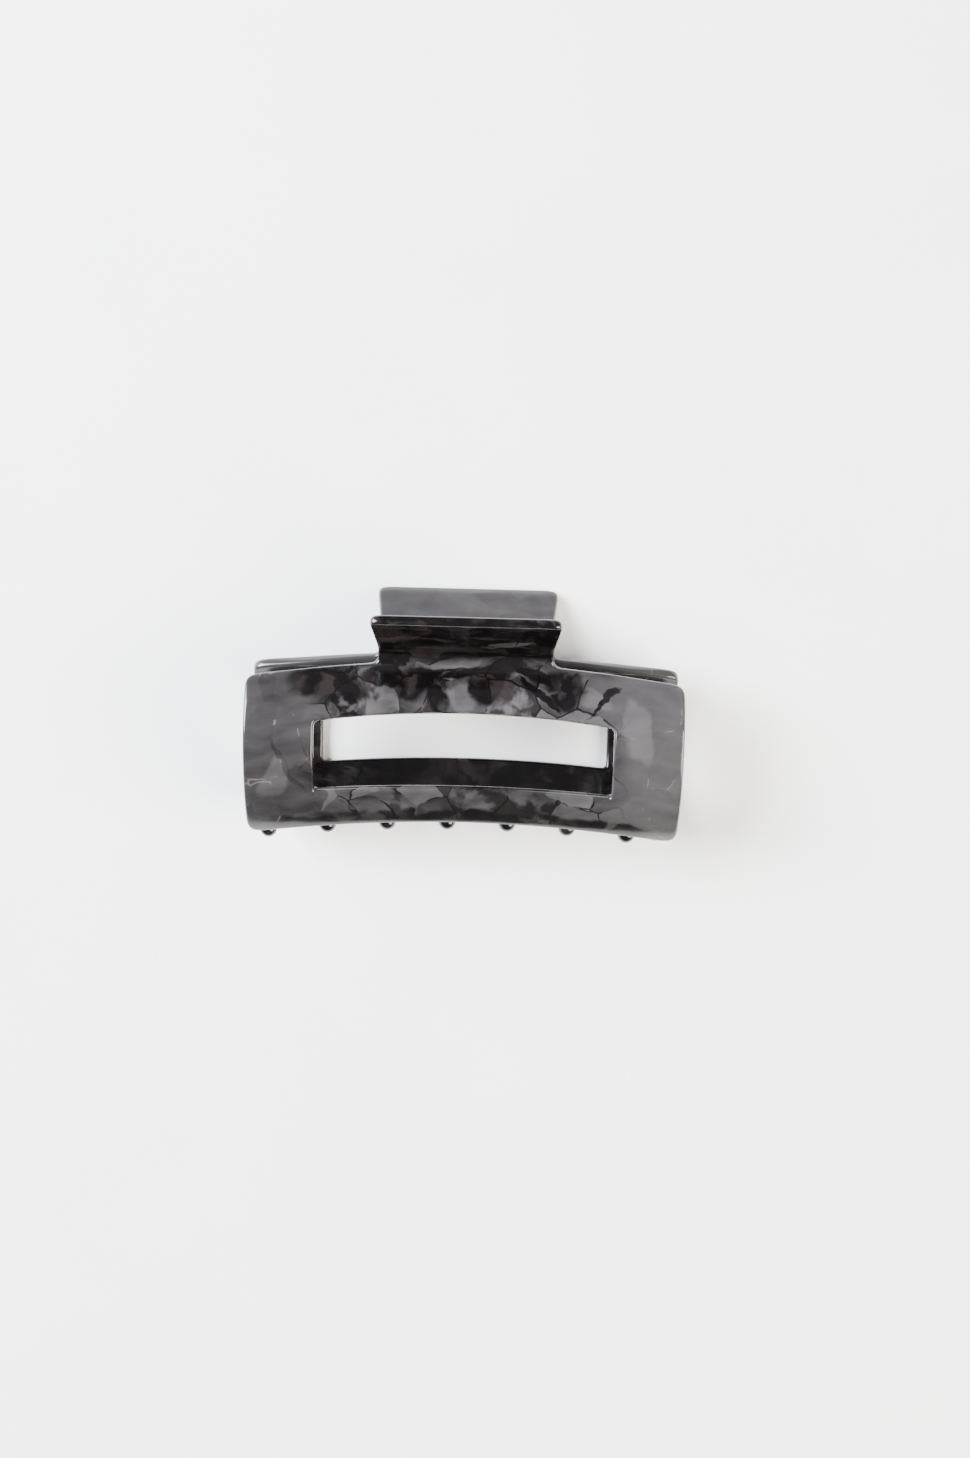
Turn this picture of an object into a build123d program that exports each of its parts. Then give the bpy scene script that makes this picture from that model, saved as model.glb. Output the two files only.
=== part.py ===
"""Claw clip: two identical open-frame jaws on a sprung hinge, lying on its back jaw.

The clip is drawn in its own frame and laid down at the end.
Own frame: X along the hinge, Y from the hinge toward the handles, Z out of the
plane between the jaws. The front jaw is on +Z and the back jaw on -Z.
"""
import math
import os

from build123d import *

os.makedirs("parts", exist_ok=True)

# ---- jaw sheet -------------------------------------------------------------
length = 105.0            # along the hinge
wall = 2.6                # sheet thickness
neck_r = 4.2              # hollow bend, outer face
handle_tilt = 52.5        # handle from the centre plane, degrees
handle_len = 14.0         # straight part of the handle, outer face
upper_r = 23.6            # belly bend above its crown, outer face
belly_rise = 5.27         # crown above the lower edge, outer face
shoulder_tilt = 47.0      # where the hollow bend meets the belly bend
jaw_drop = 39.2           # from the neck down to the lower edge
edge_round = 0.7          # tumbled edges

# ---- outline ---------------------------------------------------------------
arc_drop = 5.3            # how far the top edge falls from middle to end
hem_drop = 6.1            # how far the lower edge falls
top_edge_y = 0.2          # top edge of the frame at the middle
top_bar = 10.7
low_bar = 10.0
window_len = 71.4
window_top_drop = 2.8     # how far the window's edges fall from middle to end
window_low_drop = 1.7
window_corner = 1.2
top_corner = 2.2
bottom_corner = 3.2
neck_width = 42.0
tip_width = 45.2
tip_corner = 2.0
neck_fillet = 1.6

# ---- teeth -----------------------------------------------------------------
tooth_count = 7
tooth_pitch = 14.65
tooth_root_d = 3.4
tooth_neck_d = 2.8
tooth_ball_d = 4.2
tooth_gap = 0.5           # ball to the other jaw's bar
tooth_lean = 20.0         # from the lower edge toward the other jaw, degrees
tooth_shift = 0.25        # of a pitch, so that two turned jaws interleave

# ---- hinge -----------------------------------------------------------------
pin_d = 2.0
pin_head_lip = 0.7        # head past the shank, all round
pin_head_t = 0.8
press_gap = 0.01          # pin in the back jaw
run_gap = 0.05            # pin in the front jaw
ear_wall = 1.8            # round the bore
ear_width = 3.8
ear_gap = 0.3
ear_seam = 12.0           # middle of the gap between neighbouring ears
head_gap = 0.1

# ---- spring ----------------------------------------------------------------
wire_d = 1.2
coil_room = 0.7           # between pin and coil, all round
coil_turns = 8
coil_gap = 0.2            # between neighbouring turns
leg_len = 9.0
leg_gap = 0.05            # between a leg's end and the handle
neck_room = 0.6           # between coil and neck

# ---- sizes that follow from the ones above ---------------------------------
ear_d = pin_d + 2 * ear_wall
pin_head_d = pin_d + 2 * pin_head_lip
coil_r = pin_d / 2 + coil_room + wire_d / 2
coil_pitch = wire_d + coil_gap
neck_z = coil_r + wire_d / 2 + neck_room + wall   # centre plane to the outer face at the neck

# ---- side profile, outer face ----------------------------------------------
tilt = math.radians(handle_tilt)
shoulder = math.radians(shoulder_tilt)
bend_y = -neck_r * math.sin(shoulder)
bend_z = neck_z + neck_r * (1 - math.cos(shoulder))
crown_z = bend_z + upper_r * (1 - math.cos(shoulder))
crown_y = bend_y - upper_r * math.sin(shoulder)
foot_y = neck_r * math.sin(tilt)
foot_z = neck_z + neck_r * (1 - math.cos(tilt))
tip_y = foot_y + handle_len * math.cos(tilt)
tip_z = foot_z + handle_len * math.sin(tilt)

lower_r = ((jaw_drop + crown_y) ** 2 + belly_rise**2) / (2 * belly_rise)   # below the crown

half = length / 2
hem_r = (half**2 + hem_drop**2) / (2 * hem_drop)
window_top = top_edge_y - top_bar
window_bottom = -jaw_drop + low_bar
reach = 4 * wall          # how far the trimming solids run past the sheet
inside = 1.5 * wall       # how deep they start behind the handle's outer face
through = 2.5 * wall      # and how deep they go on either side of the frame's
half_wall = wall / 2
over = half + reach
heel_tilt = math.asin((jaw_drop + hem_drop / 2 + crown_y) / lower_r)
heel_z = crown_z - belly_rise
skirt = math.asin((jaw_drop + hem_drop + crown_y) / lower_r)
up_sheet = Vector(0, math.cos(heel_tilt), math.sin(heel_tilt))
out_sheet = Vector(0, -math.sin(heel_tilt), math.cos(heel_tilt))
tooth_root_up = tooth_root_d / 2 + edge_round / 2
tooth_root_in = wall - edge_round / 2
lean_in = math.radians(tooth_lean)
tooth_way = -up_sheet * math.cos(lean_in) - out_sheet * math.sin(lean_in)


def hem_fall(x):
    """How far the lower edge lies below its middle at x, along the sheet."""
    return hem_r - math.sqrt(hem_r**2 - x**2)


# ---- jaw moulding, drawn as the front jaw ----------------------------------
handle_plane = Plane(
    origin=(0, foot_y, foot_z),
    x_dir=(1, 0, 0),
    z_dir=(0, -math.sin(tilt), math.cos(tilt)),
)
top_plane = Plane(
    origin=(0, 0, neck_z),
    x_dir=(1, 0, 0),
    z_dir=(0, math.sin(shoulder / 2), math.cos(shoulder / 2)),
)
heel_plane = Plane(
    origin=(0, -jaw_drop, heel_z),
    x_dir=(1, 0, 0),
    z_dir=(0, -math.sin(heel_tilt), math.cos(heel_tilt)),
)

with BuildPart() as moulding:
    # bent sheet of even thickness: frame, then the narrower neck and handle
    with BuildSketch(Plane.YZ.offset(-half)):
        with BuildLine():
            frame_start = (
                crown_y - (lower_r - half_wall) * math.sin(skirt),
                crown_z - lower_r + (lower_r - half_wall) * math.cos(skirt),
            )
            frame_rise = (math.cos(skirt), math.sin(skirt))
            low = JernArc(frame_start, frame_rise, lower_r - half_wall, -math.degrees(skirt))
            high = JernArc(low @ 1, (1, 0), upper_r - half_wall, -shoulder_tilt)
            JernArc(high @ 1, high % 1, neck_r + half_wall, shoulder_tilt)
        trace(line_width=wall)
    extrude(amount=length)
    with BuildSketch(Plane.YZ.offset(-tip_width / 2)) as handle_side:
        with BuildLine():
            neck = JernArc((0, neck_z - half_wall), (1, 0), neck_r + half_wall, handle_tilt)
            Line(neck @ 1, neck @ 1 + (neck % 1) * handle_len)
        trace(line_width=wall)
        fillet(handle_side.vertices().filter_by(lambda v: v.Y > tip_z - wall), edge_round)
    extrude(amount=tip_width)

    # handle outline, cut square to the handle
    with BuildSketch(Plane.XY, mode=Mode.PRIVATE) as blade:
        with BuildLine():
            Polyline(
                (-neck_width / 2, -reach),
                (-neck_width / 2, 0),
                (-tip_width / 2, handle_len),
                (tip_width / 2, handle_len),
                (neck_width / 2, 0),
                (neck_width / 2, -reach),
                close=True,
            )
        make_face()
        fillet(blade.vertices().group_by(Axis.Y)[-1], tip_corner)
    with BuildSketch(handle_plane.offset(-inside)):
        with Locations((0, (handle_len + reach - foot_y) / 2)):
            Rectangle(2 * over, handle_len + reach + foot_y)
        add(blade.sketch, mode=Mode.SUBTRACT)
    extrude(amount=inside + foot_z - neck_z + edge_round / 2, mode=Mode.SUBTRACT)

    # top edge of the frame and its rounded corners, either side of the neck
    with BuildSketch(Plane.XY, mode=Mode.PRIVATE) as below_top:
        with BuildLine():
            top_arc = ThreePointArc(
                (-half, top_edge_y - arc_drop), (0, top_edge_y), (half, top_edge_y - arc_drop)
            )
            Polyline(top_arc @ 1, (half, -over), (-half, -over), top_arc @ 0)
        make_face()
        fillet(below_top.vertices().group_by(Axis.Y)[-1], top_corner)
    with BuildSketch(top_plane.offset(-through)) as shoulders:
        with Locations((0, (foot_y + half_wall - half) / 2)):
            Rectangle(2 * over, foot_y + half_wall + half)
        add(below_top.sketch, mode=Mode.SUBTRACT)
        Rectangle(neck_width, 2 * over, mode=Mode.SUBTRACT)
        inner = shoulders.vertices().filter_by(lambda v: abs(v.X) < neck_width)
        fillet(inner.filter_by(lambda v: v.Y < foot_y / 2), neck_fillet)
    extrude(amount=through + wall, mode=Mode.SUBTRACT)

    # lower edge of the frame and its rounded corners
    with BuildSketch(Plane.XY, mode=Mode.PRIVATE) as above_heel:
        with BuildLine():
            heel_arc = ThreePointArc((-half, -hem_drop), (0, 0), (half, -hem_drop))
            Polyline(heel_arc @ 1, (half, over), (-half, over), heel_arc @ 0)
        make_face()
        fillet(above_heel.vertices().group_by(Axis.Y)[0], bottom_corner)
    with BuildSketch(heel_plane):
        with Locations((0, -hem_drop)):
            Rectangle(2 * over, 2 * reach)
        add(above_heel.sketch, mode=Mode.SUBTRACT)
    extrude(amount=through, both=True, mode=Mode.SUBTRACT)

    # window
    with BuildSketch(Plane.XY.offset(wall)) as window:
        with BuildLine():
            run = window_len / 2
            top_end = window_top - window_top_drop
            low_end = window_bottom - window_low_drop
            above = ThreePointArc((-run, top_end), (0, window_top), (run, top_end))
            below = ThreePointArc((-run, low_end), (0, window_bottom), (run, low_end))
            Line(above @ 0, below @ 0)
            Line(above @ 1, below @ 1)
        make_face()
        fillet(window.vertices(), window_corner)
    extrude(amount=crown_z, mode=Mode.SUBTRACT)

    # rounded window rim
    broad = moulding.faces().filter_by(lambda f: f.area > half).edges()
    rim = broad.filter_by(lambda e: sum(e.is_same(other) for other in broad) == 1)
    rim = rim.filter_by(lambda e: abs(e.center().X) < window_len / 2 + edge_round)
    rim = rim.filter_by(lambda e: low_end - wall < e.center().Y < window_top + wall)
    fillet(rim.filter_by(lambda e: e.center().Y > -jaw_drop + wall), edge_round)

    # hinge ears behind the neck: outboard on the left, inboard on the right
    seam_edge = ear_seam + ear_gap / 2
    for ear_start in (-seam_edge - ear_width, seam_edge - ear_gap - ear_width):
        with BuildSketch(Plane.YZ.offset(ear_start)):
            Circle(ear_d / 2)
            with Locations((0, (neck_z - half_wall) / 2)):
                Rectangle(ear_d, neck_z - half_wall)
        extrude(amount=ear_width)

    # teeth: each starts inside the lower bar and ends just short of the other jaw's
    for i in range(tooth_count):
        tooth_x = tooth_pitch * (i - (tooth_count - 1) / 2 + tooth_shift)
        edge_y = -jaw_drop - hem_fall(tooth_x) * math.cos(heel_tilt)
        edge_z = crown_z - lower_r + math.sqrt(lower_r**2 - (edge_y - crown_y) ** 2)
        edge = Vector(tooth_x, edge_y, edge_z)
        root = edge + up_sheet * tooth_root_up - out_sheet * tooth_root_in
        tip = edge - out_sheet * wall - up_sheet * (tooth_ball_d / 2 + tooth_gap)
        tip = Vector(tip.X, tip.Y, -tip.Z)
        with BuildLine() as spine:
            TangentArc(root, tip, tangent=tooth_way)
        with BuildSketch(Plane(origin=root, z_dir=spine.line % 0)):
            Circle(tooth_root_d / 2)
        with BuildSketch(Plane(origin=tip, z_dir=spine.line % 1)):
            Circle(tooth_neck_d / 2)
        sweep(path=spine.line, multisection=True)
        with Locations(tip):
            Sphere(tooth_ball_d / 2)

# ---- the two jaws: same moulding, the back one turned end for end ----------
with BuildPart() as front_jaw:
    add(moulding.part)
    with BuildSketch(Plane.YZ.offset(-half)):
        Circle(pin_d / 2 + run_gap)
    extrude(amount=length, mode=Mode.SUBTRACT)

with BuildPart() as back_jaw:
    add(moulding.part.rotate(Axis.Y, 180))
    with BuildSketch(Plane.YZ.offset(-half)):
        Circle(pin_d / 2 + press_gap)
    extrude(amount=length, mode=Mode.SUBTRACT)

# ---- steel pin, headed at both ends ----------------------------------------
pin_reach = seam_edge + ear_width + head_gap
with BuildPart() as hinge_pin:
    with BuildSketch(Plane.YZ.offset(-pin_reach)):
        Circle(pin_d / 2)
    extrude(amount=2 * pin_reach)
    for head_start in (-pin_reach - pin_head_t, pin_reach):
        with BuildSketch(Plane.YZ.offset(head_start)):
            Circle(pin_head_d / 2)
        extrude(amount=pin_head_t)
    rims = hinge_pin.edges().filter_by(lambda e: abs(e.center().X) > pin_reach + pin_head_t / 2)
    fillet(rims, pin_head_t / 2)

# ---- spring: coil on the pin, one leg behind each handle -------------------
face_offset = foot_y * math.sin(tilt) - foot_z * math.cos(tilt) + wall
bear = face_offset + wire_d / 2 + leg_gap
span = math.hypot(coil_r, leg_len)
lean = math.acos(bear / span) - math.atan2(leg_len, coil_r)
leg_tilt = tilt + lean
leave = leg_tilt - math.pi / 2
coil_len = coil_pitch * (coil_turns + leave / math.pi)
with BuildPart() as torsion_spring:
    with BuildLine() as winding:
        coil = Helix(
            pitch=coil_pitch,
            height=coil_len,
            radius=coil_r,
            center=(-coil_len / 2, 0, 0),
            direction=(1, 0, 0),
        )
    with BuildSketch(Plane(origin=coil @ 0, z_dir=coil % 0)):
        Circle(wire_d / 2)
    sweep(path=winding.line, is_frenet=True)
    for leg_start, leg_way in ((coil @ 0, -(coil % 0)), (coil @ 1, coil % 1)):
        with BuildSketch(Plane(origin=leg_start, z_dir=leg_way)):
            Circle(wire_d / 2)
        extrude(amount=leg_len)
coil_turn = -90 - math.degrees(leave)

# ---- lay the clip on its back jaw: it rests on the handle tip and the belly --
rest_y = tip_y - edge_round * math.cos(tilt) + edge_round * math.sin(tilt) - crown_y
rest_z = tip_z - edge_round * math.sin(tilt) - edge_round * math.cos(tilt) - crown_z + lower_r
lie = math.atan2(rest_z, rest_y) - math.pi / 2 + math.acos((lower_r - edge_round) / math.hypot(rest_y, rest_z))
lay = Rot(X=math.degrees(lie))
front_jaw.part = lay * front_jaw.part
back_jaw.part = lay * back_jaw.part
hinge_pin.part = lay * hinge_pin.part
torsion_spring.part = lay * Rot(X=coil_turn) * torsion_spring.part

# middle of the bounding box over the origin, lowest point on the surface
front_box = front_jaw.part.bounding_box()
back_box = back_jaw.part.bounding_box()
settle = Pos(
    0,
    -(max(front_box.max.Y, back_box.max.Y) + min(front_box.min.Y, back_box.min.Y)) / 2,
    -back_box.min.Z,
)
for name, built in (
    ("front_jaw", front_jaw),
    ("back_jaw", back_jaw),
    ("hinge_pin", hinge_pin),
    ("torsion_spring", torsion_spring),
):
    built.part = settle * built.part
    built.part.label = name

export_step(front_jaw.part, "parts/front_jaw.step")
export_step(back_jaw.part, "parts/back_jaw.step")
export_step(hinge_pin.part, "parts/hinge_pin.step")
export_step(torsion_spring.part, "parts/torsion_spring.step")
print("hinge axis through", settle.position, "mm")
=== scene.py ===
import math

import bmesh
import bpy
import numpy as np
from mathutils import Matrix, Vector


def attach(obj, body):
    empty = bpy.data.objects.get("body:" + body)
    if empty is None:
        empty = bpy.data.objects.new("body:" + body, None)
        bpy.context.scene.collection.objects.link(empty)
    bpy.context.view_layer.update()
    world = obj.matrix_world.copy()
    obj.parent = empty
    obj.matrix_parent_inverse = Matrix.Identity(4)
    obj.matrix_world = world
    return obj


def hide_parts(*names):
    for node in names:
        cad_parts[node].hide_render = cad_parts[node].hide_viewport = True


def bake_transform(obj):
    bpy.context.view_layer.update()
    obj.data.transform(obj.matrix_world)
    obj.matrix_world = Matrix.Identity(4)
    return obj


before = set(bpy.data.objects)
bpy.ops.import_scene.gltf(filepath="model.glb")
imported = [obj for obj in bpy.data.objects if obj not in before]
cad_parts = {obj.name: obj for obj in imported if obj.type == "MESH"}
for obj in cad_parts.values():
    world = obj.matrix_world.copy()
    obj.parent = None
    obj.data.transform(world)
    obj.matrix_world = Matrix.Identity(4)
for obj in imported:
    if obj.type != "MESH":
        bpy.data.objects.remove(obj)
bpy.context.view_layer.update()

# ==== jaw sheet ===============================================================
# One jaw is a 2.6 mm slab of cellulose acetate, sawn to a frame with a handle,
# tumbled until its edges are round, then bent hot over a former. It is drawn
# flat first, as sawn, with Y along the slab, and bent last.
mm = 0.001
wall = 2.6 * mm
edge_round = 0.75 * mm
neck_z = 6.1 * mm             # centre plane of the clip to the outer face at the neck
neck_r = 4.2 * mm             # hollow bend under the neck, outer face
upper_r = 23.6 * mm           # belly above its crown, outer face
lower_r = 36.413 * mm         # belly below its crown, outer face
handle_tilt = math.radians(52.5)
shoulder_tilt = math.radians(47.0)
skirt_tilt = math.radians(42.0)
handle_len = 14.0 * mm
handle_half = 21.0 * mm
handle_flare = 0.0766         # how much wider the handle's tip is than its foot
hem_drop = 6.1 * mm           # how far the lower edge falls toward the ends
half_len = 52.5 * mm

neck_mid_r = neck_r + wall / 2
upper_mid_r = upper_r - wall / 2
lower_mid_r = lower_r - wall / 2
# the neck's place along the bent slab, from the low end of the former
neck_at = lower_mid_r * skirt_tilt + (upper_mid_r + neck_mid_r) * shoulder_tilt

# lines drawn on the slab, in mm: across it from the middle, and down it from the
# neck, where each falls toward the ends by its second number
columns = [3.9, 9.5, 15.0, 21.0, 23.8, 28.6, 33.6, 35.7, 41.5, 48.2, 52.5]
rows = [(0.2, 5.3), (-3.7, 5.3), (-8.6, 5.6), (-13.2, 5.9), (-15.3, 5.7), (-22.8, 4.9)]
rows += [(-29.3, 3.9), (-31.45, 3.7), (-36.4, 4.9), (-41.93, 6.1)]
handle_rows = [3.0, 5.1, 9.0, 12.2, 15.6, 19.04]
window_end = 35.7 * mm
window_top = rows[3]
window_low = rows[7]
low_corner_ease = 1.4 * mm    # how far the last line but one backs off at the low corner
tip_corner_ease = 2.3 * mm    # and how far the tip's support line closes on its corner
near = 0.3 * mm               # a point this close to a line is on it
sag = 1.2 * mm                # more than the top edge falls across the handle's foot


def clear_selection():
    """Leaves nothing selected, so that the next operator acts on its own piece only."""
    bpy.ops.object.select_all(action="DESELECT")


def pick(wanted):
    """In edit mode, selects the points whose place makes wanted(place) true."""
    mesh = bmesh.from_edit_mesh(bpy.context.edit_object.data)
    for vert in mesh.verts:
        vert.select_set(bool(wanted(vert.co)) and not vert.hide)
    mesh.select_flush_mode()
    bmesh.update_edit_mesh(bpy.context.edit_object.data)


def pick_faces(wanted):
    """In edit mode, selects the faces whose middle and normal make wanted true."""
    mesh = bmesh.from_edit_mesh(bpy.context.edit_object.data)
    for face in mesh.faces:
        face.select_set(False)
    for face in mesh.faces:
        if wanted(face.calc_center_median(), face.normal):
            face.select_set(True)
    bmesh.update_edit_mesh(bpy.context.edit_object.data)


def finish_modifier(piece, kind, **settings):
    """Adds one modifier to the piece and applies it."""
    clear_selection()
    piece.select_set(True)
    bpy.context.view_layer.objects.active = piece
    modifier = piece.modifiers.new(kind.title(), kind)
    for name, value in settings.items():
        setattr(modifier, name, value)
    bpy.ops.object.modifier_apply(modifier=modifier.name)


def draw_out(way):
    """Extrudes what is selected by way."""
    bpy.ops.mesh.extrude_region_move(TRANSFORM_OT_translate={"value": way})


# the upper middle of the slab, then out to the end and down to the lower edge
first = columns[0] * mm
top = neck_at + rows[0][0] * mm
clear_selection()
bpy.ops.mesh.primitive_plane_add(size=first, location=(first / 2, top - first / 2, 0))
slab = bpy.context.object
slab.name = "front_jaw_slab"
bpy.ops.object.transform_apply(location=True, rotation=True, scale=True)
bpy.ops.object.mode_set(mode="EDIT")
bpy.ops.mesh.select_mode(type="VERT")
pick(lambda p: p.x > first / 2)
for inner, outer in zip(columns, columns[1:]):
    draw_out(((outer - inner) * mm, 0, 0))
pick(lambda p: p.y < top - first / 2)
for above, below in zip([rows[1]] + rows[2:], rows[2:]):
    draw_out((0, (below[0] - above[0]) * mm, 0))

# the last line but one backs off at the lower end, where the corner is rounder
pick(lambda p: abs(p.x - columns[-2] * mm) < near and p.y < neck_at + rows[7][0] * mm - near)
bpy.ops.transform.translate(value=(-low_corner_ease, 0, 0))

# the end of each line is pulled down, so the long edges fall away as arcs
for place, drop in rows:
    line = neck_at + place * mm
    pick(lambda p: abs(p.y - line) > near)
    bpy.ops.mesh.hide(unselected=False)
    bpy.ops.mesh.select_all(action="SELECT")
    bpy.ops.transform.translate(value=(0, -drop * mm, 0))
    pick(lambda p: p.x < near)
    bpy.ops.transform.translate(
        value=(0, drop * mm, 0),
        use_proportional_edit=True,
        proportional_edit_falloff="INVERSE_SQUARE",
        proportional_size=half_len,
    )
    bpy.ops.mesh.reveal(select=False)


def on_line(row, x):
    """Where a line of the slab lies at x."""
    return neck_at + row[0] * mm - row[1] * mm * (x / half_len) ** 2


# the window is sawn out
pick_faces(
    lambda p, n: p.x < window_end and on_line(window_low, p.x) < p.y < on_line(window_top, p.x)
)
bpy.ops.mesh.delete(type="FACE")

# the handle grows from the middle of the top edge and widens to its tip
pick(lambda p: p.x < handle_half + near and p.y > neck_at - sag)
for lower, upper in zip([rows[0][0]] + handle_rows, handle_rows):
    draw_out((0, (upper - lower) * mm, 0))
for row in handle_rows:
    height = neck_at + row * mm
    pick(lambda p: height - sag < p.y < height + near)
    spread = 1 + handle_flare * max(0.0, row - handle_rows[1]) / (handle_rows[-1] - handle_rows[1])
    bpy.ops.transform.resize(value=(spread, 0, 1), center_override=(0, height, 0))
pick(lambda p: p.y > height - near and 15.5 * mm < p.x < 17.0 * mm)
bpy.ops.transform.translate(value=(tip_corner_ease, 0, 0))
bpy.ops.object.mode_set(mode="OBJECT")

# the other half, the thickness, and the tumbled rim
finish_modifier(slab, "MIRROR", use_axis=(True, False, False), use_clip=True, merge_threshold=0.01 * mm)
finish_modifier(slab, "SOLIDIFY", thickness=wall, offset=0)
bpy.ops.object.mode_set(mode="EDIT")
bpy.ops.mesh.select_mode(type="FACE")
pick_faces(lambda p, n: abs(n.z) < 0.5)
bpy.ops.mesh.select_mode(type="EDGE")
bpy.ops.mesh.region_to_loop()
bpy.ops.mesh.bevel(offset=edge_round, segments=2, profile=0.5, affect="EDGES", clamp_overlap=False)
bpy.ops.mesh.select_all(action="SELECT")
bpy.ops.mesh.normals_make_consistent(inside=False)
bpy.ops.object.mode_set(mode="OBJECT")
finish_modifier(slab, "SUBSURF", levels=3, render_levels=3)


def keep_slab_place(piece, source, shift=(0, 0, 0)):
    """Writes each point's place in the flat slab, for the pattern that runs through it."""
    place = np.zeros(len(piece.data.vertices) * 3, np.float32)
    piece.data.attributes[source].data.foreach_get("vector", place)
    place = place.reshape(-1, 3) + np.array(shift, np.float32)
    kept = piece.data.attributes.get("slab") or piece.data.attributes.new("slab", "FLOAT_VECTOR", "POINT")
    kept.data.foreach_set("vector", place.ravel())


keep_slab_place(slab, "position", (0, -neck_at, 0))

# the former: belly, hollow neck bend and straight handle, from the low end up
former = bpy.data.curves.new("former", "CURVE")
former.dimensions = "3D"
former.resolution_u = 64
bends = [
    (lower_mid_r, -skirt_tilt),
    (upper_mid_r, -shoulder_tilt),
    (neck_mid_r, shoulder_tilt),
    (neck_mid_r, handle_tilt),
]
stops = [(Vector((0, 0, 0)), skirt_tilt)]
for radius, turn in bends:
    here, heading = stops[-1]
    side = math.copysign(radius, turn)
    centre = here + side * Vector((0, -math.sin(heading), math.cos(heading)))
    heading += turn
    stops.append((centre - side * Vector((0, -math.sin(heading), math.cos(heading))), heading))
neck_stop = stops[3][0]
along_handle = Vector((0, math.cos(handle_tilt), math.sin(handle_tilt)))
stops.append((stops[-1][0] + handle_len * along_handle, handle_tilt))
# a Bezier handle of this length makes the arc of a bend
grips = [4 / 3 * math.tan(abs(turn) / 4) * radius for radius, turn in bends] + [handle_len / 3]
spline = former.splines.new("BEZIER")
spline.bezier_points.add(len(stops) - 1)
for i, (point, (place, heading)) in enumerate(zip(spline.bezier_points, stops)):
    forward = Vector((0, math.cos(heading), math.sin(heading)))
    point.co = place - neck_stop + Vector((0, 0, neck_z - wall / 2))
    point.handle_left = point.co - forward * grips[max(i - 1, 0)]
    point.handle_right = point.co + forward * grips[min(i, len(grips) - 1)]
    point.tilt = math.radians(90)
former_rail = bpy.data.objects.new("former", former)
bpy.context.scene.collection.objects.link(former_rail)
finish_modifier(slab, "CURVE", object=former_rail, deform_axis="POS_Y")
bpy.data.objects.remove(former_rail)

# ==== teeth ===================================================================
# Seven curved teeth are moulded with each jaw, each on a shank that thins from
# 3.4 to 2.8 mm and ends in a 4.2 mm ball, so that it slides over the scalp.
tooth_count = 7
tooth_pitch = 14.65 * mm
tooth_shift = 0.25            # of a pitch, so that two turned jaws interleave
tooth_root_r = 1.7 * mm
tooth_neck_r = 1.4 * mm
tooth_ball_r = 2.1 * mm
tooth_gap = 0.5 * mm          # ball to the other jaw's bar
tooth_sunk = 0.35 * mm        # how far the root lies from the sheet's inner face and rim
tooth_lean = math.radians(20.0)
jaw_drop = 39.2 * mm
crown_y = -(neck_r + upper_r) * math.sin(shoulder_tilt)
crown_z = neck_z + (neck_r + upper_r) * (1 - math.cos(shoulder_tilt))
heel_tilt = math.asin((jaw_drop + hem_drop / 2 + crown_y) / lower_r)
up_slab = Vector((0, math.cos(heel_tilt), math.sin(heel_tilt)))
out_slab = Vector((0, -math.sin(heel_tilt), math.cos(heel_tilt)))


def tooth_ends(x):
    """Where the tooth at x starts in the lower bar, and the middle of its ball."""
    y = -jaw_drop - hem_drop * (x / half_len) ** 2 * math.cos(heel_tilt)
    z = crown_z - lower_r + math.sqrt(lower_r**2 - (y - crown_y) ** 2)
    edge = Vector((x, y, z))
    root = edge + up_slab * (tooth_root_r + tooth_sunk) - out_slab * (wall - tooth_sunk)
    ball = edge - out_slab * wall - up_slab * (tooth_ball_r + tooth_gap)
    ball.z = -ball.z
    return root, ball


# one shank, from the middle of the jaw: a ring swept along an arc and thinned
mid_root, mid_ball = tooth_ends(0)
tooth_way = -up_slab * math.cos(tooth_lean) - out_slab * math.sin(tooth_lean)
tooth_side = up_slab * math.sin(tooth_lean) - out_slab * math.cos(tooth_lean)
swing = (mid_ball - mid_root).angle(tooth_way)
sweep_r = (mid_ball - mid_root).length / (2 * math.sin(swing))
sweep_centre = mid_root + tooth_side * sweep_r
sweep_start = heel_tilt + tooth_lean
rings = 12


def shank_at(ring):
    """The middle of one ring of the shank."""
    angle = sweep_start + 2 * swing * ring / rings
    return sweep_centre + sweep_r * Vector((0, -math.sin(angle), math.cos(angle)))


def shank_size(ring):
    """How thick the shank is at one ring, against its root."""
    return 1 - (1 - tooth_neck_r / tooth_root_r) * ring / rings


clear_selection()
bpy.ops.mesh.primitive_circle_add(
    vertices=24,
    radius=tooth_root_r,
    fill_type="NGON",
    location=mid_root,
    rotation=(math.pi / 2 + sweep_start, 0, 0),
)
shank = bpy.context.object
shank.name = "tooth_shank"
bpy.ops.object.transform_apply(location=True, rotation=True, scale=True)
bpy.ops.object.mode_set(mode="EDIT")
bpy.ops.mesh.select_all(action="SELECT")
for ring in range(rings):
    middle = shank_at(ring + 1)
    thinner = shank_size(ring + 1) / shank_size(ring)
    draw_out(middle - shank_at(ring))
    bpy.ops.transform.rotate(value=-2 * swing / rings, orient_axis="X", center_override=middle)
    bpy.ops.transform.resize(value=(thinner,) * 3, center_override=middle)
bpy.ops.mesh.select_all(action="SELECT")
bpy.ops.mesh.normals_make_consistent(inside=False)
bpy.ops.object.mode_set(mode="OBJECT")

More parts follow.
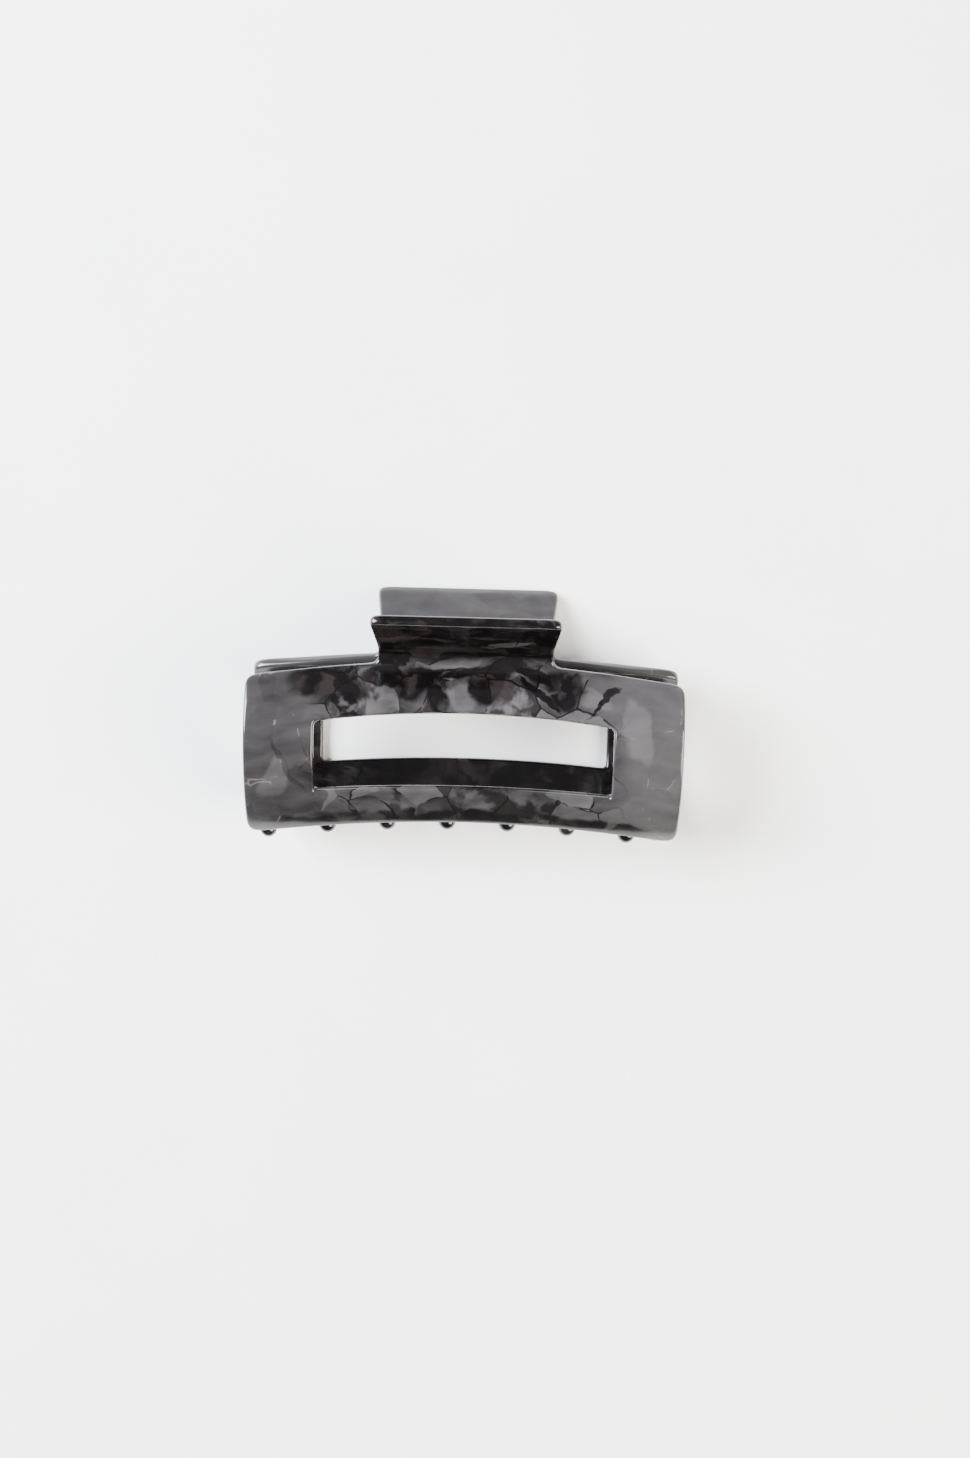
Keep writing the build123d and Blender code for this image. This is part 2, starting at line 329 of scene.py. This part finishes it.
# one ball, with its top drawn up round the shank as a short collar
sweep_end = sweep_start + 2 * swing
up_shank = Vector((0, math.cos(sweep_end), math.sin(sweep_end)))
collar_rise = 0.3 * mm
clear_selection()
bpy.ops.mesh.primitive_uv_sphere_add(
    segments=28,
    ring_count=18,
    radius=tooth_ball_r,
    location=mid_ball,
    rotation=(sweep_end - math.pi / 2, 0, 0),
)
tooth_ball = bpy.context.object
tooth_ball.name = "tooth_ball"
bpy.ops.object.transform_apply(location=True, rotation=True, scale=True)
bpy.ops.object.mode_set(mode="EDIT")
bpy.ops.mesh.select_mode(type="FACE")
pick_faces(lambda p, n: (p - mid_ball).dot(up_shank) > 0.6 * tooth_ball_r)
collar = mid_ball + up_shank * tooth_ball_r * 0.7
for narrower in (0.9, 0.93):
    collar += up_shank * collar_rise
    draw_out(up_shank * collar_rise)
    bpy.ops.transform.resize(value=(narrower,) * 3, center_override=collar)
bpy.ops.object.mode_set(mode="OBJECT")

# ==== hinge ears ==============================================================
# Two ears stand behind the neck, moulded with the jaw, and the pin runs through
# them. On one jaw they sit outboard on the left and inboard on the right, so a
# second jaw turned end for end fits between them.
ear_r = 2.8 * mm
ear_width = 3.8 * mm
ear_bore_r = 1.05 * mm
ear_starts = (-15.95 * mm, 8.05 * mm)
ear_foot = neck_z - wall / 2
clear_selection()
bpy.ops.mesh.primitive_cylinder_add(
    vertices=48,
    radius=ear_r,
    depth=ear_width,
    rotation=(0, math.pi / 2, 0),
    location=(ear_width / 2, 0, 0),
)
ear = bpy.context.object
ear.name = "hinge_ear"
bpy.ops.object.transform_apply(location=True, rotation=True, scale=True)
bpy.ops.object.mode_set(mode="EDIT")
bpy.ops.mesh.select_mode(type="FACE")
# the side facing the sheet is drawn out flat to meet it, then the bore is cut
pick_faces(lambda p, n: p.z > 0 and abs(n.x) < 0.5)
draw_out((0, 0, ear_foot))
bpy.ops.transform.resize(value=(1, 1, 0), center_override=(0, 0, ear_foot))
pick_faces(lambda p, n: abs(n.x) > 0.5 and p.z < 0.5 * mm)
bpy.ops.mesh.inset(thickness=ear_r - ear_bore_r, use_even_offset=True)
bpy.ops.mesh.bridge_edge_loops()
bpy.ops.object.mode_set(mode="OBJECT")
finish_modifier(ear, "BEVEL", width=0.3 * mm, segments=2, limit_method="ANGLE", angle_limit=math.radians(50))


def copy_piece(piece, name):
    """A second piece of the same shape, with a mesh of its own."""
    twin = piece.copy()
    twin.data = piece.data.copy()
    twin.name = name
    bpy.context.scene.collection.objects.link(twin)
    return twin


# the copies are set in place and joined to the slab as one moulding. The lower edge
# falls away toward the ends, so a shank there is stretched to reach its ball.
moulded_on = []
for i in range(tooth_count):
    root, ball = tooth_ends(tooth_pitch * (i - (tooth_count - 1) / 2 + tooth_shift))
    stretch_y = (ball.y - root.y) / (mid_ball.y - mid_root.y)
    stretch_z = (ball.z - root.z) / (mid_ball.z - mid_root.z)
    one = copy_piece(shank, f"tooth_shank_{i}")
    one.scale = (1, stretch_y, stretch_z)
    one.location = root - Vector((mid_root.x, mid_root.y * stretch_y, mid_root.z * stretch_z))
    moulded_on.append(one)
    one = copy_piece(tooth_ball, f"tooth_ball_{i}")
    one.location = ball - mid_ball
    moulded_on.append(one)
for i, ear_start in enumerate(ear_starts):
    one = copy_piece(ear, f"hinge_ear_{i}")
    one.location = (ear_start, 0, 0)
    moulded_on.append(one)
for spare in (shank, tooth_ball, ear):
    bpy.data.objects.remove(spare)
clear_selection()
for one in moulded_on:
    one.select_set(True)
bpy.context.view_layer.objects.active = slab
bpy.ops.object.transform_apply(location=True, rotation=True, scale=True)
for one in moulded_on:
    keep_slab_place(one, "position")
slab.select_set(True)
bpy.ops.object.join()
front_jaw = bpy.context.object
front_jaw.name = "front_jaw_moulding"
bpy.ops.object.shade_smooth_by_angle(angle=math.radians(42))

# ==== the two jaws in place ===================================================
# The back jaw is the same moulding turned end for end. The closed clip lies on
# the back jaw, on its belly and the tip of its handle, so both are tilted 6 degrees.
lie = math.radians(6.0551)
hinge = Vector((0, 15.2663, 17.2049)) * mm
lay_down = Matrix.Translation(hinge) @ Matrix.Rotation(lie, 4, "X")
back_jaw = copy_piece(front_jaw, "back_jaw_moulding")
# it is cut from the slab 100 mm further on, so its marbling is its own
keep_slab_place(back_jaw, "slab", (0, 100 * mm, 0))
front_jaw.matrix_world = lay_down
back_jaw.matrix_world = lay_down @ Matrix.Rotation(math.pi, 4, "Y")
clear_selection()
for jaw in (front_jaw, back_jaw):
    jaw.select_set(True)
bpy.context.view_layer.objects.active = front_jaw
bpy.ops.object.transform_apply(location=True, rotation=True, scale=True)


def linear(hex_colour):
    """A colour written as sRGB hex, in linear light."""
    out = []
    for i in (1, 3, 5):
        c = int(hex_colour[i : i + 2], 16) / 255
        out.append(c / 12.92 if c <= 0.04045 else ((c + 0.055) / 1.055) ** 2.4)
    return (*out, 1.0)


def start_material(name):
    """A new material, and its empty tree of nodes."""
    material = bpy.data.materials.new(name)
    material.use_nodes = True
    material.node_tree.nodes.clear()
    return material, material.node_tree


def add_node(kind, inputs, out=0, **settings):
    """Adds a node to the tree in hand and gives one output. An input is a value or a socket."""
    node = tree.nodes.new("ShaderNode" + kind)
    for name, value in settings.items():
        setattr(node, name, value)
    for key, value in inputs.items() if isinstance(inputs, dict) else enumerate(inputs):
        if isinstance(value, bpy.types.NodeSocket):
            tree.links.new(value, node.inputs[key])
        else:
            node.inputs[key].default_value = value
    return node.outputs[out] if node.outputs else None


plus = {"operation": "ADD"}
minus = {"operation": "SUBTRACT"}
times = {"operation": "MULTIPLY"}
most = {"operation": "MAXIMUM"}
eased = {"interpolation_type": "SMOOTHSTEP"}
lay_over = {"data_type": "RGBA", "out": 2}   # a Mix of amount 0, under 6 and over 7

# Marbled cellulose acetate, tumbled and polished: grey mother-of-pearl flakes pressed
# together with black smoke and fine cracks between them. To the eye it is a deep
# gloss over soft silky greys, nearly black where the smoke lies.
acetate, tree = start_material("marbled_acetate_tumbled")

# the place in the flat slab in mm, stirred by two sizes of swirl, and torn by two more
slab_place = add_node("Attribute", (), out="Vector", attribute_name="slab")
in_mm = add_node("VectorMath", (slab_place, (1000, 1000, 1000)), **times)


def stir(place, read_at, swirl_mm, pull_mm):
    """place, pushed up to pull_mm about by swirls swirl_mm across."""
    swirl = add_node("TexNoise", {"Vector": read_at, "Scale": 1 / swirl_mm, "Detail": 2.0}, out="Color")
    centred = add_node("VectorMath", (swirl, (-0.5, -0.5, -0.5)), **plus)
    pull = add_node("VectorMath", {0: centred, "Scale": pull_mm * 2}, operation="SCALE")
    return add_node("VectorMath", (place, pull), **plus)


stirred = stir(stir(in_mm, in_mm, 20.0, 5.0), in_mm, 3.0, 0.5)
torn = stir(stir(stirred, stirred, 6.0, 1.8), stirred, 2.0, 0.5)
slab_axes = add_node("SeparateXYZ", (in_mm,)).node.outputs
across = slab_axes[0]
along = slab_axes[1]
off_middle = add_node("Math", (across,), operation="ABSOLUTE")
# along the slab, measured from the curved top edge
across_squared = add_node("Math", (across, across), **times)
level = add_node("Math", (across_squared, 0.0021, along), operation="MULTIPLY_ADD")

lump_edge = 0.35              # how soft the edge of a lump is, against its size


def lump_at(x, y, half_x, half_y, turn):
    """1 inside one lump of smoke or pearl at x, y in the slab, 0 outside its edge."""
    inputs = {
        "Vector": torn,
        "Location": (x, y, 0),
        "Rotation": (0, 0, math.radians(turn)),
        "Scale": (half_x, half_y, 9),
    }
    local = add_node("Mapping", inputs, vector_type="TEXTURE")
    reach = add_node("VectorMath", (local,), out="Value", operation="LENGTH")
    return add_node("MapRange", (reach, 1 + lump_edge / 2, 1 - lump_edge / 2), **eased)


# flakes about 11 mm across, each with its own grey and a painted silky sheen across it, and
# shards about 5 mm across, which give the smoke its broken edges
flake_scale = {"Vector": stirred, "Scale": 1 / 11.0}
flakes = add_node("TexVoronoi", flake_scale, out="Color")
flake_tints = add_node("SeparateColor", (flakes,)).node.outputs
flake_grey = flake_tints[0]
flake_pick = flake_tints[1]
seams = add_node("TexVoronoi", flake_scale, out="Distance", feature="DISTANCE_TO_EDGE")
shards = add_node(
    "TexVoronoi", {"Vector": torn, "Scale": 1 / 5.0, "Smoothness": 0.35}, out="Color", feature="SMOOTH_F1"
)
shard_grey = add_node("SeparateColor", (shards,))
slanted = add_node(
    "Mapping", {"Vector": stirred, "Rotation": (0, 0, 0.7), "Scale": (1 / 12.0, 1 / 4.0, 1 / 9.0)}
)
silk_sheen_painted = add_node("TexNoise", {"Vector": slanted, "Scale": 1.0, "Detail": 3.0})
clouds = add_node("TexNoise", {"Vector": stirred, "Scale": 1 / 7.0, "Detail": 4.0})

# how busy the marbling is: calm at the two ends, busy in the bars
busy = add_node("MapRange", (off_middle, 41.0, 32.0), **eased)
# pearl lumps: pale flakes brightened with painted sheen, and one small painted glint; place and half size in
# mm, and turn in degrees
pearl_and_glint = 0.0
for lump in (
    (0.5, -10.0, 4.6, 3.4, 0),
    (14.0, -8.4, 4.8, 3.4, -12),
    (-23.5, -5.0, 2.4, 3.4, 10),
    (31.0, -9.5, 4.2, 2.4, -40),
    (5.6, -6.4, 0.9, 1.5, 15),
    (41.0, -17.0, 3.4, 7.0, 20),
    (-45.0, -30.0, 3.4, 5.0, -20),
    (9.0, 9.5, 6.0, 1.6, 22),
):
    pearl_and_glint = add_node("Math", (pearl_and_glint, lump_at(*lump)), **most)


def grey_shift(pattern, calm_swing, busy_swing):
    """How far a pattern moves the grey, by one swing at the ends and another in the bars."""
    centred = add_node("Math", (pattern, 0.5), **minus)
    swing_here = add_node("MapRange", (busy, 0.0, 1.0, calm_swing, busy_swing), **eased)
    return add_node("Math", (centred, swing_here), **times)


grey = grey_shift(flake_grey, 0.15, 0.8)
# painted sheen: the silk pattern lightens and darkens the grey in bands across the flakes
grey = add_node("Math", (grey, grey_shift(silk_sheen_painted, 0.7, 1.3)), **plus)
grey = add_node("Math", (grey, grey_shift(shard_grey, 0.03, 0.2)), **plus)
# the left end is a shade darker than the right, and the back jaw's handle is painted one even grey, a
# painted reflection of the bright room
end_to_end = add_node("MapRange", (across, -50.0, 50.0, 0.22, 0.62), **eased)
grey = add_node("Math", (grey, end_to_end), **plus)
# the pearl lumps lift the grey: the flakes' own pale tone, plus painted sheen and a painted glint
pearl_and_glint_lift = add_node("Math", (pearl_and_glint, 0.35), **times)
grey = add_node("Math", (grey, pearl_and_glint_lift), use_clamp=True, **plus)
back_handle_reflection = add_node("MapRange", (level, 97.0, 100.0), **eased)
toward_reflection_grey = add_node("Math", (add_node("Math", (0.4, grey), **minus), 0.75), **times)
grey = add_node("Math", (grey, add_node("Math", (back_handle_reflection, toward_reflection_grey), **times)), **plus)
colour = add_node("Mix", {0: grey, 6: linear("#171616"), 7: linear("#434040")}, **lay_over)

# smoke in lumps, broken up by the shards
smoke = 0.0
for lump in (
    (-32.5, -6.8, 9.4, 4.2, -6),
    (-20.0, -4.0, 5.0, 2.4, 4),
    (-26.4, -5.5, 0.7, 4.6, 0),
    (-13.4, -6.0, 6.4, 4.4, 24),
    (-6.6, -9.4, 2.6, 3.6, 20),
    (6.6, -6.6, 4.2, 5.2, -14),
    (-2.0, -3.0, 13.0, 2.0, 2),
    (25.4, -6.8, 6.0, 4.6, -25),
    (17.0, -4.0, 7.0, 1.6, -12),
    (19.0, -8.6, 6.4, 0.8, -30),
    (33.4, -10.6, 4.2, 0.6, 48),
):
    smoke = add_node("Math", (smoke, lump_at(*lump)), **most)
broken = add_node("Math", (shard_grey, clouds), **plus)
broken = add_node("MapRange", (broken, 0.34, 0.6, 0.25, 1.0), **eased)
smoke = add_node("Math", (smoke, broken), **times)

# one soft band down the left end, and a dark hem along the lower edge: a painted dark reflection over the
# lower part of the lower bar, drawn as smoke
band = add_node("Math", (lump_at(-42.5, -27.0, 8.6, 0.9, -62), 0.4), **times)
smoke = add_node("Math", (smoke, band), **most)
waver = add_node("Math", (add_node("Math", (clouds, 0.5), **minus), 5.0), **times)
hem_dark_reflection = add_node("MapRange", (add_node("Math", (level, waver), **plus), -36.6, -37.8), **eased)
dark_reflection_reach = add_node("MapRange", (off_middle, 49.0, 41.0), **eased)
hem_dark_reflection = add_node("Math", (hem_dark_reflection, dark_reflection_reach), **times)
dark_reflection_depth = add_node("MapRange", (shard_grey, 0.9, 0.6, 0.55, 1.0), **eased)
smoke = add_node("Math", (smoke, add_node("Math", (hem_dark_reflection, dark_reflection_depth), **times)), **most)

# the handle is all smoke, in streaks along the bend; the smoke also stands in for the dark reflection on its
# tilted face, so it is partly painted reflection
streaky = add_node("Mapping", {"Vector": stirred, "Scale": (1 / 14.0, 1 / 1.6, 1 / 4.0)})
streaks = add_node("TexNoise", {"Vector": streaky, "Scale": 1.0, "Detail": 3.0})
uneven = add_node("Math", (along, add_node("Math", (clouds, 5.0), **times)), **plus)
handle_smoke_reflection_mask = add_node("MapRange", (uneven, 1.6, 5.0), **eased)
streak_depth = add_node("MapRange", (streaks, 0.66, 0.54, 0.6, 1.0), **eased)
handle_smoke_and_reflection = add_node("Math", (handle_smoke_reflection_mask, streak_depth), **times)
clear_of_pearl_and_glint = add_node("Math", (1.0, add_node("Math", (pearl_and_glint, 0.6), **times)), **minus)
handle_smoke_and_reflection = add_node("Math", (handle_smoke_and_reflection, clear_of_pearl_and_glint), **times)
smoke = add_node("Math", (smoke, handle_smoke_and_reflection), **most)

# here and there a whole flake drifts into smoke
drift = add_node("MapRange", (flake_pick, 0.62, 0.72), **eased)
drift = add_node("Math", (drift, add_node("MapRange", (clouds, 0.44, 0.56), **eased)), **times)
drift = add_node("Math", (drift, add_node("Math", (busy, 0.9), **times)), **times)
smoke = add_node("Math", (smoke, drift), **most)

# painted shade: the back jaw's frame, under the front jaw, is darkened in clouds, fading out at its top
# edge, and its handle is left clear of smoke for its painted reflection
past_start = add_node("MapRange", (level, 50.0, 51.0), **eased)
before_handle = add_node("MapRange", (level, 100.8, 97.6), **eased)
back_frame_painted_shade = add_node("Math", (past_start, before_handle), **times)
painted_shade_depth = add_node("MapRange", (clouds, 0.62, 0.5, 0.75, 1.0), **eased)
smoke = add_node("Math", (smoke, add_node("Math", (back_frame_painted_shade, painted_shade_depth), **times)), **most)
# the back jaw's handle, under its painted reflection, is kept clear of smoke and black cracks
outside_handle_reflection = add_node("Math", (1.0, back_handle_reflection), **minus)
smoke = add_node("Math", (smoke, outside_handle_reflection), **times)
brown = add_node("MapRange", (clouds, 0.44, 0.6), **eased)
brown_shards = add_node("MapRange", (shard_grey, 0.3, 0.7, 0.05, 0.42), **eased)
brown = add_node("Math", (brown, brown_shards), **times)
smoke_colour = add_node("Mix", {0: brown, 6: linear("#050404"), 7: linear("#292221")}, **lay_over)
colour = add_node("Mix", {0: smoke, 6: colour, 7: smoke_colour}, **lay_over)

# cracks between flakes, about 0.3 mm wide: black in the busy part, pale where it is calm
crack_break = add_node("Math", (add_node("MapRange", (clouds, 0.44, 0.5), **eased), outside_handle_reflection), **times)
black_crack = add_node("MapRange", (seams, 0.02, 0.009), **eased)
black_crack = add_node("Math", (black_crack, crack_break), **times)
black_crack = add_node("Math", (add_node("Math", (black_crack, busy), **times), 0.9), **times)
colour = add_node("Mix", {0: black_crack, 6: colour, 7: linear("#040303")}, **lay_over)
not_busy = add_node("Math", (1.0, busy), **minus)
pale_break = add_node("Math", (add_node("MapRange", (silk_sheen_painted, 0.55, 0.62), **eased), not_busy), **times)
pale_crack = add_node("Math", (add_node("MapRange", (seams, 0.016, 0.006), **eased), pale_break), **times)
pale_crack = add_node("Math", (pale_crack, 0.22), **times)
colour = add_node("Mix", {0: pale_crack, 6: colour, 7: linear("#7d7875")}, **lay_over)

# polish marks too fine to see one by one only dull the gloss here and there, in
# clouds about 6 mm across, and the polished skin ripples over about 9 mm
haze = add_node("TexNoise", {"Vector": in_mm, "Scale": 1 / 6.0, "Detail": 5.0})
dulled = add_node("MapRange", (haze, 0.3, 0.7, 0.1, 0.2), **eased)
ripple = add_node("TexNoise", {"Vector": in_mm, "Scale": 1 / 9.0, "Detail": 1.0})
skin = add_node("Bump", {"Height": ripple, "Strength": 0.25, "Distance": 0.0006})
gloss = add_node(
    "BsdfPrincipled", {"Base Color": colour, "Roughness": dulled, "IOR": 1.48, "Normal": skin}
)
add_node("OutputMaterial", {"Surface": gloss})
for jaw, node, body in ((front_jaw, "front_jaw", "front"), (back_jaw, "back_jaw", "back")):
    jaw.data.materials.clear()
    jaw.data.materials.append(acetate)
    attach(jaw, body)
    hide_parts(node)

# ==== torsion spring ==========================================================
# A 1.2 mm spring wire, wound eight turns round the pin between the ears. One leg
# bears behind each handle and keeps the jaws shut.
wire_r = 0.6 * mm
coil_r = 2.3 * mm
coil_pitch = 1.4 * mm
coil_turns = 8
leg_len = 9.0 * mm
leg_gap = 0.05 * mm
foot = Vector((0, neck_r * math.sin(handle_tilt), neck_z + neck_r * (1 - math.cos(handle_tilt))))
# how far the leg's middle line stands from the hinge's, square to the handle
bear = foot.y * math.sin(handle_tilt) - foot.z * math.cos(handle_tilt) + wall + wire_r + leg_gap
leg_tilt = handle_tilt + math.acos(bear / math.hypot(coil_r, leg_len)) - math.atan2(leg_len, coil_r)
wound = 2 * math.pi * coil_turns + 2 * leg_tilt - math.pi
coil_len = coil_pitch * wound / (2 * math.pi)
clear_selection()
bpy.ops.mesh.primitive_circle_add(vertices=14, radius=wire_r)
spring = bpy.context.object
spring.name = "torsion_spring_wire"
bpy.ops.object.mode_set(mode="EDIT")
bpy.ops.mesh.select_all(action="SELECT")
bpy.ops.transform.translate(value=(-coil_len / 2, coil_r, 0))
bpy.ops.transform.rotate(value=leg_tilt - math.pi / 2, orient_axis="X", center_override=(0, 0, 0))
bpy.ops.object.mode_set(mode="OBJECT")
finish_modifier(
    spring,
    "SCREW",
    axis="X",
    angle=wound,
    screw_offset=coil_len,
    steps=200,
    render_steps=200,
    use_merge_vertices=False,
)

# each open end is drawn out straight as a leg and closed with a softened tip
bpy.ops.object.mode_set(mode="EDIT")
bpy.ops.mesh.select_mode(type="VERT")
for end in (-1, 1):
    bpy.ops.mesh.select_all(action="DESELECT")
    bpy.ops.mesh.select_non_manifold()
    mesh = bmesh.from_edit_mesh(spring.data)
    for vert in mesh.verts:
        if vert.select and vert.co.x * end < 0:
            vert.select_set(False)
    mesh.select_flush_mode()
    bmesh.update_edit_mesh(spring.data)
    draw_out(Vector((0, math.cos(leg_tilt), end * math.sin(leg_tilt))) * leg_len)
    bpy.ops.mesh.edge_face_add()
    bpy.ops.mesh.bevel(offset=0.15 * mm, segments=2, affect="EDGES")
bpy.ops.mesh.select_all(action="SELECT")
bpy.ops.mesh.normals_make_consistent(inside=False)
bpy.ops.object.mode_set(mode="OBJECT")
bpy.ops.object.shade_smooth_by_angle(angle=math.radians(50))
spring.matrix_world = lay_down
bpy.ops.object.transform_apply(location=True, rotation=True, scale=True)

# Spring wire, drawn through a die and left bright: pale steel with a soft gloss, a thin
# grey film of oil in patches about 3 mm across, and drawing marks. Those are finer on
# the real wire and are drawn 0.4 mm apart, so that they show.
spring_steel, tree = start_material("spring_steel_drawn")
place = add_node("TexCoord", (), out="Object")
marks = add_node("TexNoise", {"Vector": place, "Scale": 1 / (0.4 * mm), "Detail": 3.0})
film = add_node("TexNoise", {"Vector": place, "Scale": 1 / (3.0 * mm), "Detail": 2.0})
oiled = add_node("Mix", {0: film, 6: linear("#c4c3bf"), 7: linear("#a5a39e")}, **lay_over)
dulled = add_node("MapRange", (marks, 0.3, 0.7, 0.22, 0.36), **eased)
drawn = add_node("Bump", {"Height": marks, "Strength": 0.15, "Distance": 0.02 * mm})
gloss = add_node(
    "BsdfPrincipled", {"Base Color": oiled, "Metallic": 1.0, "Roughness": dulled, "Normal": drawn}
)
add_node("OutputMaterial", {"Surface": gloss})
spring.data.materials.append(spring_steel)
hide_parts("torsion_spring")
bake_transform(spring)

# ==== hinge pin ===============================================================
# A 2 mm steel pin with a round head at each end runs through the four ears and the
# coil. Its heads are turned, then spun over once the pin is through.
# Turned steel: brighter than the wire, slightly stained, with rings round its axis.
# The real ones are finer and are drawn 1.5 mm apart, so that they show.
pin_steel, tree = start_material("pin_steel_turned")
place = add_node("TexCoord", (), out="Object")
# Bands of a wave lie 0.314 of its size apart, and the size here is 4.7 mm.
wave = {"Vector": place, "Scale": 1 / (4.7 * mm), "Distortion": 0.6, "Detail": 2.0, "Detail Scale": 3.0}
turning_rings = add_node("TexWave", wave, out="Fac", bands_direction="X")
stain = add_node("TexNoise", {"Vector": place, "Scale": 1 / (1.6 * mm), "Detail": 3.0})
stained = add_node("Mix", {0: stain, 6: linear("#c9c8c5"), 7: linear("#adaba7")}, **lay_over)
dulled = add_node("MapRange", (turning_rings, 0.0, 1.0, 0.2, 0.32), **eased)
turned = add_node("Bump", {"Height": turning_rings, "Strength": 0.2, "Distance": 0.01 * mm})
gloss = add_node(
    "BsdfPrincipled", {"Base Color": stained, "Metallic": 1.0, "Roughness": dulled, "Normal": turned}
)
add_node("OutputMaterial", {"Surface": gloss})
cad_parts["hinge_pin"].data.materials[0] = pin_steel

# ==== floor ===================================================================
# The clip lies on a plain slab of pale stone, honed flat. It is 6 m square, so from
# above it fills the view.
# Honed stone: an even matt off-white with clouds about 50 mm across, just visible, and
# a fine grain that softens its sheen.
clear_selection()
bpy.ops.mesh.primitive_plane_add(size=6, location=(0, 0, 0))
floor = bpy.context.object
floor.name = "floor"
stone, tree = start_material("pale_stone_honed")
place = add_node("TexCoord", (), out="Object")
cloudy = add_node("TexNoise", {"Vector": place, "Scale": 1 / (50 * mm), "Detail": 3.0})
cloudy = add_node("MapRange", (cloudy, 0.35, 0.65), **eased)
off_white = add_node("Mix", {0: cloudy, 6: linear("#efefeb"), 7: linear("#f2f2ec")}, **lay_over)
grain = add_node("TexNoise", {"Vector": place, "Scale": 1 / (0.8 * mm), "Detail": 2.0})
honed = add_node("MapRange", (grain, 0.3, 0.7, 0.5, 0.6), **eased)
gloss = add_node("BsdfPrincipled", {"Base Color": off_white, "Roughness": honed})
add_node("OutputMaterial", {"Surface": gloss})
floor.data.materials.append(stone)

# ==== light ===================================================================
# Soft daylight: a dim, even sky, a large cool window to the upper left, and a weaker
# warm softbox to the right that lifts the shadows.
world = bpy.data.worlds.new("studio")
bpy.context.scene.world = world
world.use_nodes = True
world.node_tree.nodes["Background"].inputs["Color"].default_value = linear("#f4f6f8")
world.node_tree.nodes["Background"].inputs["Strength"].default_value = 0.32


def add_softbox(name, place, power, colour):
    """A softbox 1.2 m square at place, turned toward the clip."""
    light = bpy.data.lights.new(name, "AREA")
    light.shape = "SQUARE"
    light.size = 1.2
    light.energy = power
    light.color = linear(colour)[:3]
    lamp = bpy.data.objects.new(name, light)
    bpy.context.scene.collection.objects.link(lamp)
    lamp.location = place
    lamp.rotation_euler = (-Vector(place)).to_track_quat("-Z", "Y").to_euler()


add_softbox("window_light", (-1.3, 0.6, 1.0), 270, "#eef3ff")
add_softbox("fill_light", (1.3, -0.3, 1.1), 105, "#fff8ee")

# ==== camera ==================================================================
# Held nearly half a metre above the clip, a little toward the handle side, and
# tipped 9 degrees to look back at it.
camera_data = bpy.data.cameras.new("camera")
camera_data.sensor_fit = "VERTICAL"
camera_data.sensor_height = 36
camera_data.lens = 47.05
camera = bpy.data.objects.new("camera", camera_data)
camera.location = (5.0 * mm, 72.678 * mm, 474.767 * mm)
camera.rotation_euler = (math.radians(-9.2855), math.radians(0.2441), math.radians(1.4928))
bpy.context.scene.collection.objects.link(camera)
bpy.context.scene.camera = camera
